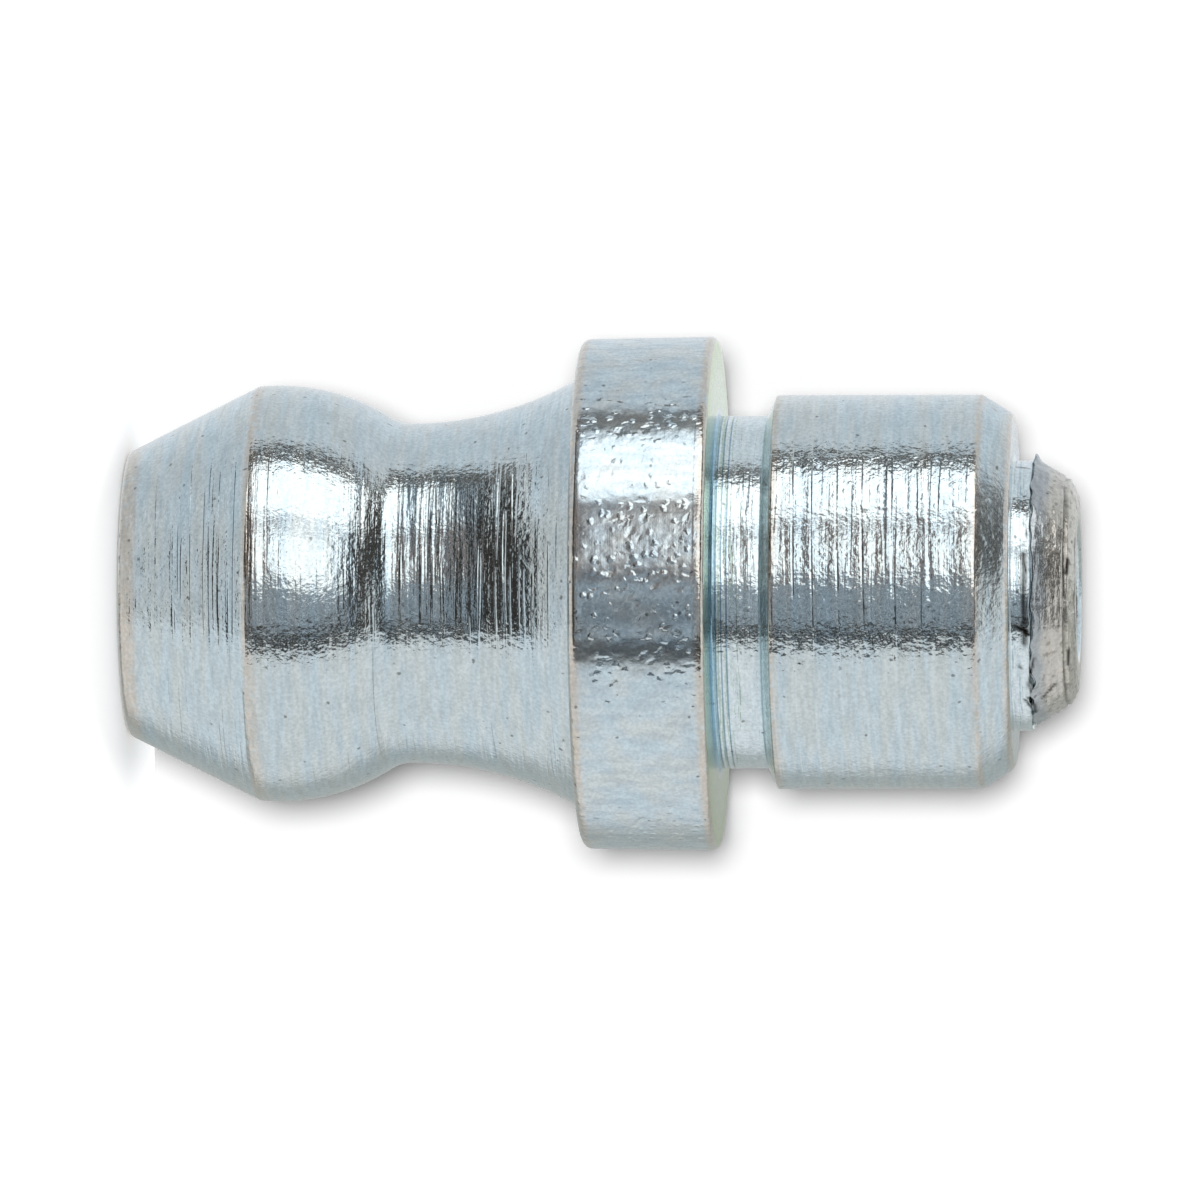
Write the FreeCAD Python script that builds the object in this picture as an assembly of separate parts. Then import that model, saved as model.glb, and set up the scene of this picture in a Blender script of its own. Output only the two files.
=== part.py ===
import FreeCAD, Part

import math
import os

# A straight press-in grease nipple, in millimetres. It stands on the flat face of its coupler head with its
# axis along +Z and its shank uppermost, and the origin is the centre of that face. The body is turned from one
# bar and drilled from the shank end. The ball and its spring go in there, and the end is rolled in over them.

# Coupler head: a front cone meets a ball part at a crisp edge, and a coupler's jaws grip behind the ball
head_length = 7.04
head_ball_r = 3.225
head_ball_height = 2.33
head_edge_before_ball = 0.30
head_face_r = 2.20
head_face_chamfer = 0.07

# Neck behind the ball part, and the flare that carries it out to the collar
neck_depth = 0.595
neck_fillet = 0.60
flare_share = 0.525

# Collar, which stops the nipple against the machine it is pressed into
collar_r = 4.00
collar_width = 2.12
collar_head_chamfer = 0.11
collar_seat_chamfer = 0.08

# Press-in shank with a relief groove under the collar and a lead-in chamfer at its end
shank_r = 3.05
shank_length = 4.58
undercut_depth = 0.32
undercut_width = 0.77
undercut_fillet = 0.36
undercut_slope = 24.0
chamfer_length = 0.43
chamfer_angle = 32.0
end_chamfer_length = 0.075
end_chamfer_angle = 58.0

# Rolled-in end: a thin nub whose rim is turned inwards to hold the spring
nub_wall = 0.62
nub_length = 0.29
lip_length = 0.71
lip_angle = 29.0
lip_round = 0.50
lip_thickness = 0.50
lip_hook_angle = 58.0
lip_overlap = 0.35
lip_edge_chamfer = 0.10

# Valve: a steel ball on a conical seat behind the inlet
ball_r = 1.25
ball_recess = 0.10
ball_side_clearance = 0.25
seat_clearance = 0.02
seat_angle = 45.0
seat_land = 0.084
inlet_chamfer = 0.08

# Compression spring between the ball and the lip
spring_wire = 0.30
spring_side_clearance = 0.20
spring_end_clearance = 0.02
spring_closed_turns = 0.75
spring_closed_pitch = 0.34
spring_active_turns = 7
spring_wire_flats = 8

# Heights and radii that follow from the sizes above
collar_head_z = head_length
collar_seat_z = collar_head_z + collar_width
shank_end_z = collar_seat_z + shank_length
nub_end_z = shank_end_z + nub_length
lip_end_z = nub_end_z + lip_length
neck_r = head_ball_r - neck_depth
undercut_r = shank_r - undercut_depth
bore_r = ball_r + ball_side_clearance
nub_r = bore_r + nub_wall
ball_z = ball_r + ball_recess
inlet_r = ball_r * math.cos(math.radians(seat_angle)) - seat_land
spring_r = bore_r - spring_side_clearance - spring_wire / 2
opening_r = bore_r - spring_side_clearance - lip_overlap
hook_top_z = lip_end_z - lip_thickness
hook_foot_z = hook_top_z - (bore_r - opening_r) / math.tan(math.radians(lip_hook_angle))
seat_apex_z = ball_z - (ball_r + seat_clearance) / math.sin(math.radians(seat_angle))


def point(radius, height):
    """A point of an outline, in the plane of the axis."""
    return FreeCAD.Vector(radius, 0, height)


def line(start, end):
    """A straight stretch between two points given as (radius, height)."""
    return Part.LineSegment(point(*start), point(*end)).toShape()


def arc(centre, radius, from_angle, to_angle):
    """A round stretch; angles in degrees, from the outward radius towards +Z."""
    middle_angle = (from_angle + to_angle) / 2
    ends = [on_circle(centre, radius, angle) for angle in (from_angle, middle_angle, to_angle)]
    return Part.Arc(*[point(*end) for end in ends]).toShape()


def on_circle(centre, radius, angle):
    """The point of a circle at an angle, as (radius, height)."""
    turn = math.radians(angle)
    return centre[0] + radius * math.cos(turn), centre[1] + radius * math.sin(turn)


def joined(stretches):
    """The outline of several stretches, with a straight line across each gap between them."""
    edges = []
    for stretch in stretches:
        if edges:
            start, end = edges[-1].valueAt(edges[-1].LastParameter), stretch.valueAt(stretch.FirstParameter)
            if (end - start).Length > 1e-6:
                edges.append(Part.LineSegment(start, end).toShape())
        edges.append(stretch)
    return edges


def head_outline():
    """Flat face, front cone, ball part, neck and flare, up to the collar."""
    edge_z = head_ball_height - head_edge_before_ball
    edge_r = math.sqrt(head_ball_r**2 - head_edge_before_ball**2)
    cone_start_r = head_face_r + head_face_chamfer * (edge_r - head_face_r) / edge_z
    face_chamfer = line((head_face_r - head_face_chamfer, 0), (cone_start_r, head_face_chamfer))
    ball_start = math.degrees(math.atan2(-head_edge_before_ball, edge_r))
    # the neck's fillet touches the ball part and the neck
    fillet_r = neck_r + neck_fillet
    fillet_z = head_ball_height + math.sqrt((head_ball_r + neck_fillet) ** 2 - fillet_r**2)
    ball_end = math.degrees(math.atan2(fillet_z - head_ball_height, fillet_r))
    ball_part = arc((0, head_ball_height), head_ball_r, ball_start, ball_end)
    fillet = arc((fillet_r, fillet_z), neck_fillet, ball_end - 180, -180)
    # the flare leaves the neck along the axis and reaches its share of the step to the collar
    rise = flare_share * (collar_r - neck_r)
    run = collar_head_z - fillet_z
    flare_r = (rise**2 + run**2) / (2 * rise)
    flare_turn = math.degrees(math.asin(run / flare_r))
    flare = arc((neck_r + flare_r, fillet_z), flare_r, 180, 180 - flare_turn)
    return [face_chamfer, ball_part, fillet, flare]


def collar_outline():
    """Collar between its two broken edges."""
    head_edge_r = collar_r - collar_head_chamfer
    seat_edge_r = collar_r - collar_seat_chamfer
    head_edge = line((head_edge_r, collar_head_z), (collar_r, collar_head_z + collar_head_chamfer))
    seat_edge = line((collar_r, collar_seat_z - collar_seat_chamfer), (seat_edge_r, collar_seat_z))
    return [head_edge, seat_edge]


def shank_outline():
    """Relief groove under the collar, the pressed-in length and its lead-in chamfer."""
    seat_width = collar_r - collar_seat_chamfer - undercut_r
    fillet = min(undercut_fillet, 0.9 * seat_width)
    groove = arc((undercut_r + fillet, collar_seat_z + fillet), fillet, -90, -180)
    groove_z = collar_seat_z + undercut_width
    slope_z = groove_z + undercut_depth * math.tan(math.radians(undercut_slope))
    slope = line((undercut_r, groove_z), (shank_r, slope_z))
    # a lead-in chamfer, then a steeper one that breaks its edge at the end face
    chamfer_end_z = shank_end_z - end_chamfer_length
    chamfer_end_r = shank_r - chamfer_length * math.tan(math.radians(chamfer_angle))
    end_face_r = chamfer_end_r - end_chamfer_length * math.tan(math.radians(end_chamfer_angle))
    chamfer = line((shank_r, chamfer_end_z - chamfer_length), (chamfer_end_r, chamfer_end_z))
    end_chamfer = line((chamfer_end_r, chamfer_end_z), (end_face_r, shank_end_z))
    return [groove, slope, chamfer, end_chamfer]


def lip_outline():
    """Nub and the rim rolled in over the spring, in to the opening."""
    cone_length = lip_length - lip_round * (1 - math.sin(math.radians(lip_angle)))
    cone_end_r = nub_r - cone_length * math.tan(math.radians(lip_angle))
    cone = line((nub_r, nub_end_z), (cone_end_r, nub_end_z + cone_length))
    round_r = cone_end_r - lip_round * math.cos(math.radians(lip_angle))
    rolled = arc((round_r, lip_end_z - lip_round), lip_round, lip_angle, 90)
    nub = line((nub_r, shank_end_z), (nub_r, nub_end_z))
    edge = line((opening_r + lip_edge_chamfer, lip_end_z), (opening_r, lip_end_z - lip_edge_chamfer))
    return [nub, cone, rolled, edge]


def bore_outline():
    """Inside of the lip, the bore, the ball's seat and the inlet, from the lip down to the face."""
    hook = line((opening_r, hook_top_z), (bore_r, hook_foot_z))
    slope = math.tan(math.radians(seat_angle))
    seat = line((bore_r, seat_apex_z + bore_r / slope), (inlet_r, seat_apex_z + inlet_r / slope))
    inlet = line((inlet_r, inlet_chamfer), (inlet_r + inlet_chamfer, 0))
    return [hook, seat, inlet]


def nipple_body():
    """The turned, drilled and rolled-in body: one outline turned about the axis."""
    outline = joined(head_outline() + collar_outline() + shank_outline() + lip_outline() + bore_outline())
    first, last = outline[0], outline[-1]
    face_line = Part.LineSegment(last.valueAt(last.LastParameter), first.valueAt(first.FirstParameter))
    outline.append(face_line.toShape())
    return Part.Face(Part.Wire(outline)).revolve(FreeCAD.Vector(0, 0, 0), FreeCAD.Vector(0, 0, 1), 360)


def check_ball():
    """The valve ball, just clear of its seat."""
    return Part.makeSphere(ball_r, FreeCAD.Vector(0, 0, ball_z))


def spring_ends():
    """Heights of the wire's middle at the ball and at the lip, each clear by spring_end_clearance."""
    reach = ball_r + spring_wire / 2 + spring_end_clearance
    ball_end_z = ball_z + math.sqrt(reach**2 - spring_r**2)
    turn = math.radians(lip_hook_angle)
    room = (bore_r - spring_r) * math.cos(turn) - spring_wire / 2 - spring_end_clearance
    return ball_end_z, hook_foot_z + room / math.sin(turn)


def ball_spring():
    """The coil: closed at both ends and open between, its wire's section carried along three helices.

    The section keeps to the plane of the axis, and has flats in place of a circle.
    """
    start_z, end_z = spring_ends()
    closed_height = spring_closed_turns * spring_closed_pitch
    open_height = end_z - start_z - 2 * closed_height
    pitches = [spring_closed_pitch, open_height / spring_active_turns, spring_closed_pitch]
    heights = [closed_height, open_height, closed_height]
    axis = FreeCAD.Vector(0, 0, 1)
    edges = []
    z, turns = start_z, 0
    for pitch, height in zip(pitches, heights):
        helix = Part.makeHelix(pitch, height, spring_r)
        helix.rotate(FreeCAD.Vector(0, 0, 0), axis, 360 * turns)
        helix.translate(FreeCAD.Vector(0, 0, z))
        edges += helix.Edges
        z += height
        turns += height / pitch
    corner_angles = [360 * (corner + 0.5) / spring_wire_flats for corner in range(spring_wire_flats)]
    corners = [point(*on_circle((spring_r, start_z), spring_wire / 2, angle)) for angle in corner_angles]
    sweep = Part.BRepOffsetAPI.MakePipeShell(Part.Wire(edges))
    sweep.setBiNormalMode(axis)
    sweep.add(Part.makePolygon(corners + corners[:1]))
    sweep.build()
    sweep.makeSolid()
    return sweep.shape()


def write_nodes():
    """One file for each piece, named as the piece."""
    os.makedirs("parts", exist_ok=True)
    for make in (nipple_body, check_ball, ball_spring):
        solid = make()
        print(make.__name__, round(solid.Volume, 4), "mm3", solid.isValid())
        solid.exportStep(f"parts/{make.__name__}.step")


write_nodes()
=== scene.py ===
import math

import bpy
import numpy as np
from mathutils import Matrix, Vector


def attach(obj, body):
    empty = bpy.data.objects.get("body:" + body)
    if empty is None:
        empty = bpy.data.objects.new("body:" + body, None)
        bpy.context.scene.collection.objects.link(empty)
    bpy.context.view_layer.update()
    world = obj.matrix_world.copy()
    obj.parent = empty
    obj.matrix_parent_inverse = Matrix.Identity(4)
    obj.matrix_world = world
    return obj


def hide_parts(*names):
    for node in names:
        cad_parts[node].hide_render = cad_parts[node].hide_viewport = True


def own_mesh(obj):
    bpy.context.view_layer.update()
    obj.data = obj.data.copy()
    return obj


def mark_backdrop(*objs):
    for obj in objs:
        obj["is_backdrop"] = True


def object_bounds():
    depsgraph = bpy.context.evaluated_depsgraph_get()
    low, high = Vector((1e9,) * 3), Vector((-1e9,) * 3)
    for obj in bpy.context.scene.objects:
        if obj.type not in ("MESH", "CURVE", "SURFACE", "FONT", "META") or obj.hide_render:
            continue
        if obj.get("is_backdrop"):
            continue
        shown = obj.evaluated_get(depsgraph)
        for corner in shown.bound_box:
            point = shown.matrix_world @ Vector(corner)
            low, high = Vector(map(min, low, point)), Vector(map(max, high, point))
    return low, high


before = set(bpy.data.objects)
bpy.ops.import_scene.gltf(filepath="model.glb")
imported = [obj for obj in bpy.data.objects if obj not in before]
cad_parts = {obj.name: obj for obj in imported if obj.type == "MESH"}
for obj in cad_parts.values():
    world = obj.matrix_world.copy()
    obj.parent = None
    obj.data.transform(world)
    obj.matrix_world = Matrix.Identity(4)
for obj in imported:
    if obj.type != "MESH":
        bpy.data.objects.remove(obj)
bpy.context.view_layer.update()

scene = bpy.context.scene
scene.view_settings.view_transform = "Standard"

# ---------------------------------------------------------------------------------------------------------
# The camera. The nipple lies on its side in the photograph, shank to the right, and here it stands on its
# head, so the camera looks at its side and is turned a quarter about its line of sight.
# ---------------------------------------------------------------------------------------------------------
camera_distance = 0.271
camera_rise = math.radians(3.75)
camera_roll = math.radians(0.15)
camera_field = math.radians(3.93)
looked_at = Vector((0.000116, 0.0, 0.00730))

backwards = Vector((0.0, -math.cos(camera_rise), math.sin(camera_rise)))
along_axis = Vector((0.0, math.sin(camera_rise), math.cos(camera_rise)))
across_axis = Vector((-1.0, 0.0, 0.0))
picture_right = along_axis * math.cos(camera_roll) - across_axis * math.sin(camera_roll)
picture_up = along_axis * math.sin(camera_roll) + across_axis * math.cos(camera_roll)

camera_lens = bpy.data.cameras.new("photo_camera")
camera_lens.sensor_width = 36.0
camera_lens.lens = camera_lens.sensor_width / 2 / math.tan(camera_field / 2)
camera_lens.clip_start = 0.01
camera_lens.clip_end = 10.0
camera = bpy.data.objects.new("photo_camera", camera_lens)
camera.matrix_world = Matrix.Translation(looked_at + backwards * camera_distance) @ Matrix(
    (picture_right, picture_up, backwards)
).transposed().to_4x4()
scene.collection.objects.link(camera)
scene.camera = camera

# ---------------------------------------------------------------------------------------------------------
# The white paper. The nipple stands on a floor of it, and a sheet just behind the collar is the paper that
# it lies on in the photograph. Both catch a soft shadow, and neither is there for what the metal reflects. The
# floor lies a hair below the head's face, so that the face shows whole from below.
# ---------------------------------------------------------------------------------------------------------
MM = 0.001


def hex_colour(text):
    """The linear colour of an sRGB hex value: the piecewise curve of the sRGB standard, channel by channel."""
    channels = [int(text[i : i + 2], 16) / 255 for i in (1, 3, 5)]
    return tuple([c / 12.92 if c <= 0.04045 else ((c + 0.055) / 1.055) ** 2.4 for c in channels] + [1.0])


def new_material(name):
    """An empty node material and its tree."""
    material = bpy.data.materials.new(name)
    material.use_nodes = True
    material.node_tree.nodes.clear()
    return material, material.node_tree


def add(tree, kind, inputs=None, **settings):
    """Adds a node with its settings. Each input is a value, or another node's output to link it to."""
    node = tree.nodes.new("ShaderNode" + kind)
    for name, value in settings.items():
        setattr(node, name, value)
    for socket, value in (inputs or {}).items():
        if isinstance(value, bpy.types.NodeSocket):
            tree.links.new(value, node.inputs[socket])
        else:
            node.inputs[socket].default_value = value
    return node


def skin(rows, columns, round_rows, round_columns):
    """The corner numbers of the quads of a grid of points, which may join up in either direction."""
    down = np.arange(rows if round_rows else rows - 1)[:, None]
    over = np.arange(columns if round_columns else columns - 1)[None, :]
    below, beside = (down + 1) % rows, (over + 1) % columns
    corners = [down * columns + over, down * columns + beside, below * columns + beside, below * columns + over]
    return np.stack(np.broadcast_arrays(*corners), axis=-1).reshape(-1, 4)


def make_piece(name, points, quads, fans=(), *, material):
    """A mesh object from points in mm and quads of their numbers, smooth shaded, at the origin.

    A fan closes a ring of points to one point: it is (number of the point, numbers round the ring).
    """
    triangles = [np.stack([np.full(len(ring), tip), ring, np.roll(ring, -1)], axis=1) for tip, ring in fans]
    corners = np.concatenate([quads.reshape(-1)] + [t.reshape(-1) for t in triangles])
    sizes = np.concatenate([np.full(len(quads), 4)] + [np.full(len(t), 3) for t in triangles])
    mesh = bpy.data.meshes.new(name)
    mesh.vertices.add(len(points))
    mesh.vertices.foreach_set("co", (points * MM).astype(np.float32).reshape(-1))
    mesh.loops.add(len(corners))
    mesh.loops.foreach_set("vertex_index", corners.astype(np.int32))
    mesh.polygons.add(len(sizes))
    mesh.polygons.foreach_set("loop_start", (np.cumsum(sizes) - sizes).astype(np.int32))
    mesh.polygons.foreach_set("use_smooth", np.ones(len(sizes), bool))
    mesh.update(calc_edges=True)
    mesh.validate()
    piece = bpy.data.objects.new(name, mesh)
    scene.collection.objects.link(piece)
    mesh.materials.append(material)
    return piece


def white_paper(name, shade, glow=0.0):
    """Matt paper that a little light of its own keeps white, seen from its front only. Returns it and its light."""
    material, tree = new_material(name)
    matt = add(tree, "BsdfDiffuse", {"Color": hex_colour(shade)})
    shine = add(tree, "Emission", {"Color": hex_colour("#ffffff"), "Strength": glow})
    front = add(tree, "AddShader", {0: matt.outputs[0], 1: shine.outputs[0]})
    side = add(tree, "NewGeometry")
    clear = add(tree, "BsdfTransparent")
    sheet = add(tree, "MixShader", {0: side.outputs["Backfacing"], 1: front.outputs[0], 2: clear.outputs[0]})
    add(tree, "OutputMaterial", {"Surface": sheet.outputs[0]})
    return material, shine


floor_reach = 400.0
floor_below = 0.02
paper_reach = 60.0
paper_behind = 4.03
# painted shade and light on the floor: its own light is lowest in an oval round the head's face, a little towards
# +X, and grows beside it, so the head's shadow there stays narrow
oval_middle, oval_flatness = 0.3 * MM, 0.3
oval_inner, oval_outer = 2.1 * MM, 3.0 * MM
glow_inside, glow_outside = 0.17, 0.38

floor_paper, floor_shine = white_paper("floor_paper", "#f7f7f7")
tree = floor_paper.node_tree
floor_place = {0: add(tree, "TexCoord").outputs["Object"], 1: (1.0, oval_flatness, 0.0), 2: (-oval_middle, 0.0, 0.0)}
floor_place = add(tree, "VectorMath", floor_place, operation="MULTIPLY_ADD").outputs[0]
painted_shade_ramp = {
    "Value": add(tree, "VectorMath", {0: floor_place}, operation="LENGTH").outputs["Value"],
    "From Min": oval_inner, "From Max": oval_outer, "To Min": glow_inside, "To Max": glow_outside,
}
painted_floor_shade = add(tree, "MapRange", painted_shade_ramp, interpolation_type="SMOOTHSTEP").outputs[0]
tree.links.new(painted_floor_shade, floor_shine.inputs["Strength"])
sheet_paper, _ = white_paper("sheet_paper", "#6a6a6a", 0.02)
floor_points = np.array([[-1, -1, 0], [1, -1, 0], [1, 1, 0], [-1, 1, 0]]) * floor_reach - [0, 0, floor_below]
floor = make_piece("floor", floor_points, np.array([[0, 1, 2, 3]]), material=floor_paper)
paper_points = np.array([[-1, 0, 0], [1, 0, 0], [1, 0, 1], [-1, 0, 1]]) * paper_reach + [0, paper_behind, 0]
paper = make_piece("paper_behind", paper_points, np.array([[0, 1, 2, 3]]), material=sheet_paper)
floor.visible_glossy = False
paper.visible_glossy = paper.visible_diffuse = paper.visible_shadow = False
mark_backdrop(floor, paper)

# ---------------------------------------------------------------------------------------------------------
# The light tent. The metal shows the inside of a white cloth tent all round. The camera looks in through a
# dark opening with a near-black rim, and a large softbox and a smaller lamp stand in that opening.
# ---------------------------------------------------------------------------------------------------------
tent_radius = 400.0
tent_steps_round, tent_steps_up = 480, 240
fold_seed, fold_waves, fold_peak = 3, 24, 4.5
# linear colours of the light from the wall's bluish top and its greenish foot, and from what stands in the opening
wall_top, wall_foot = np.array([0.97, 1.0, 1.03]), np.array([0.97, 1.01, 0.98])
opening_rim, opening_back = np.array([0.050, 0.045, 0.041]), np.array([0.320, 0.347, 0.374])
brown_patch, white_strip = np.array([0.255, 0.210, 0.195]), np.array([0.95, 0.97, 1.00])
lamp_white, softbox_white = np.array([1.52, 1.50, 1.48]), np.array([1.66, 1.64, 1.62])


def ramp(value, start, end):
    """0 before start, 1 after end, and a smooth S between them; start may be the greater."""
    share = np.clip((value - start) / (end - start), 0, 1)
    return share * share * (3 - 2 * share)


def window(value, low, high, soft):
    """1 between low and high, falling to 0 over soft on each side, centred on the two limits."""
    return ramp(value, low - soft / 2, low + soft / 2) * ramp(value, high + soft / 2, high - soft / 2)


def mixed(under, over, share):
    """Each colour moves from under to over by its share."""
    return under + (over - under) * share[..., None]


def folds(v, w):
    """Folds of the cloth and what hangs in front of it: a sum of plane waves of 5 to 13 degrees, 1 at its peaks."""
    wave = np.random.default_rng(fold_seed)
    lengths = wave.uniform(5, 13, fold_waves)
    headings = wave.uniform(0, np.pi, fold_waves)
    phases = wave.uniform(0, 2 * np.pi, fold_waves)
    waves = [
        np.sin((v * math.cos(heading) + w * math.sin(heading)) * 2 * np.pi / length + phase)
        for length, heading, phase in zip(lengths, headings, phases)
    ]
    return np.clip(sum(waves) / fold_peak, -1, 1)


def tent_light(over_top, towards_shank):
    """The tent wall's light by direction, in degrees from the camera: over the top, and towards the shank."""
    v, w = over_top, towards_shank
    creases = folds(v, w)
    wall = 0.83 - 0.10 * ramp(v, 74, 94) + 0.10 * ramp(v, 122, 152) + 0.09 * ramp(v, 166, 177)
    wall = wall - 0.07 * ramp(v, 66, 86) * ramp(w, -30, -46) - 0.34 * ramp(v, -116, -142) + 0.04 * ramp(w, 35, 75)
    wall = wall - 0.16 * window(v, -26, 88, 14) * ramp(w, -46, -56) * ramp(w, -80, -62)
    wall = wall * (1 + 0.07 * creases)
    tint = mixed(np.ones(v.shape + (3,)), wall_top, ramp(v, 45, 75))
    tint = mixed(tint, wall_foot, ramp(v, -120, -150))
    light = wall[..., None] * tint
    # the opening round the camera, with its near-black rim and what shows in it
    low = -53 + 15 * ramp(np.abs(v), 20, 85)
    high = 54.5 + 9 * window(v, 8, 66, 10)
    opening = window(v, -31 - 3 * ramp(w, -3, 3), 90, 5) * window(w, low, high, 4)
    inside = window(v, -22, 78, 7) * window(w, -27, 38, 7)
    dim = (1 + 0.85 * creases)[..., None]
    frame_light = (1 + 2.0 * ramp(v, 72, 84) + 0.6 * ramp(w, 42, 50))[..., None]
    light = mixed(light, opening_rim * frame_light * dim, opening)
    back_light = (1 + 0.13 * ramp(w, 2, 10))[..., None]
    light = mixed(light, opening_back * back_light * dim, inside)
    light = mixed(light, brown_patch * dim, window(v, 6, 46, 8) * window(w, -24, -2, 8))
    between_lamps = window(v, 31, 45, 5) * window(w, 0, 30, 8)
    light = mixed(light, white_strip * (dim + 2) / 3, between_lamps)
    # the lamp, cut off aslant below, and the softbox over it
    lamp_low = 13 - 0.6 * np.clip(w + 7.5, 0, 17)
    lamp = window(v, lamp_low, 36, 4) * window(w, -7.3, 33, 4)
    light = mixed(light, lamp_white, lamp)
    softbox = window(v, 43, 78 - 5 * ramp(w, -7.7, -9.5), 3) * window(w, -13, 60, 6) * window(w, -60, 38, 9)
    return mixed(light, softbox_white * (dim + 7) / 8, softbox)


tent_turn = np.arange(tent_steps_round) / tent_steps_round * 2 * np.pi
tent_rise = (np.arange(1, tent_steps_up) / tent_steps_up - 0.5) * np.pi
turn_grid, rise_grid = np.meshgrid(tent_turn, tent_rise)
tent_points = tent_radius * np.stack(
    [-np.sin(turn_grid) * np.cos(rise_grid), -np.cos(turn_grid) * np.cos(rise_grid), np.sin(rise_grid)], axis=-1
)
tent_points = np.concatenate([tent_points.reshape(-1, 3), [[0, 0, -tent_radius], [0, 0, tent_radius]]])
tent_rows = tent_steps_up - 1
ring = np.arange(tent_steps_round)
tent_fans = [(len(tent_points) - 2, ring), (len(tent_points) - 1, ring[::-1] + (tent_rows - 1) * tent_steps_round)]
tent_cloth, tree = new_material("tent_cloth")
cloth_light = add(tree, "Attribute", attribute_name="light")
add(tree, "OutputMaterial", {"Surface": add(tree, "Emission", {"Color": cloth_light.outputs["Color"]}).outputs[0]})
tent_cloth.cycles.emission_sampling = "NONE"
tent = make_piece(
    "light_tent", tent_points, skin(tent_rows, tent_steps_round, False, True), tent_fans, material=tent_cloth
)
over_top = np.degrees((turn_grid + np.pi) % (2 * np.pi) - np.pi)
wall_light = tent_light(over_top, np.degrees(rise_grid - camera_rise)).reshape(-1, 3)
wall_light = np.concatenate([wall_light, wall_light[:1], wall_light[-1:]])
wall_light = np.concatenate([wall_light, np.ones((len(wall_light), 1))], axis=1)
tent.data.attributes.new("light", "FLOAT_COLOR", "POINT").data.foreach_set("color", wall_light.reshape(-1))
tent.visible_camera = tent.visible_diffuse = tent.visible_shadow = False
tent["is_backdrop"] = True

# A lamp beside the camera that lights only the sheet of paper, and draws the nipple's soft shadow on it.
lamp_lean_up, lamp_lean_left = math.radians(2.4), math.radians(1.8)
shadow_lamp = bpy.data.lights.new("shadow_lamp", "SUN")
shadow_lamp.energy = 19.0
shadow_lamp.angle = math.radians(10.0)
shadow_lamp_object = bpy.data.objects.new("shadow_lamp", shadow_lamp)
lamp_side = backwards + across_axis * math.tan(lamp_lean_up) - along_axis * math.tan(lamp_lean_left)
shadow_lamp_object.rotation_euler = lamp_side.to_track_quat("Z", "Y").to_euler()
shadow_lamp_object.visible_glossy = False
scene.collection.objects.link(shadow_lamp_object)
only_sheet = bpy.data.collections.new("lit_by_shadow_lamp")
only_sheet.objects.link(paper)
shadow_lamp_object.light_linking.receiver_collection = only_sheet
not_the_floor = bpy.data.collections.new("no_shadow_from_floor")
not_the_floor.objects.link(floor)
not_the_floor.collection_objects[0].light_linking.link_state = "EXCLUDE"
shadow_lamp_object.light_linking.blocker_collection = not_the_floor

# The room beyond is plain white.
room = bpy.data.worlds.new("room")
room.use_nodes = True
tree = room.node_tree
tree.nodes.clear()
backdrop = add(tree, "Background", {"Color": hex_colour("#ffffff"), "Strength": 1.0})
add(tree, "OutputWorld", {"Surface": backdrop.outputs[0]})
scene.world = room

# ---------------------------------------------------------------------------------------------------------
# The body. It is turned from 8 mm free-cutting steel bar, drilled from the shank end and rolled in over the
# spring there, then zinc plated and blue passivated. One outline is carried round the axis; sizes are in mm.
# ---------------------------------------------------------------------------------------------------------
face_r, ball_centre_z, head_ball_r = 2.20, 2.33, 3.225
ball_edge_z = 2.03
neck_r, neck_round, neck_z = 2.63, 0.60, 4.3788
flare_r = 5.2828
collar_z, collar_r, rim_taper, seat_z, seat_fall = 7.04, 3.98, 0.035, 9.16, 0.02
groove_r, groove_round, groove_z = 2.73, 0.06, 9.93
shank_z, shank_r, chamfer_z = 10.0725, 3.05, 13.235
end_r, end_z = 2.734, 13.74
nub_r, crack_z, crack_depth, crack_rise = 2.09, 14.04, 0.13, 0.01
lip_edge_z, lip_edge_r, cone_end_r, cone_end_z = 14.075, 2.05, 1.825, 14.467
lip_angle, lip_round, lip_z, opening_r, hook_z = 29, 0.50, 14.725, 0.95, 14.24
bore_r, hook_foot_z, seat_cone_z = 1.5, 13.8963, 1.05395
inlet_r, inlet_z, inlet_edge_r, inlet_edge_z = 0.79988, 0.35383, 0.87988, 0.08


def straight(*corners):
    """A polyline through (radius, height) corners."""
    return np.array(corners, float)


def arc(centre, radius, start, end):
    """Points of a circle from one angle to another, in degrees from outwards towards the shank."""
    angle = np.radians(np.linspace(start, end, 160))
    return np.stack([centre[0] + radius * np.cos(angle), centre[1] + radius * np.sin(angle)], axis=1)


def unit(step):
    return step / np.linalg.norm(step)


def cut_back(stretch, corner, length):
    """The stretch without its points nearer to the corner than the length."""
    return stretch[np.linalg.norm(stretch - corner, axis=1) > length]


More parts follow.
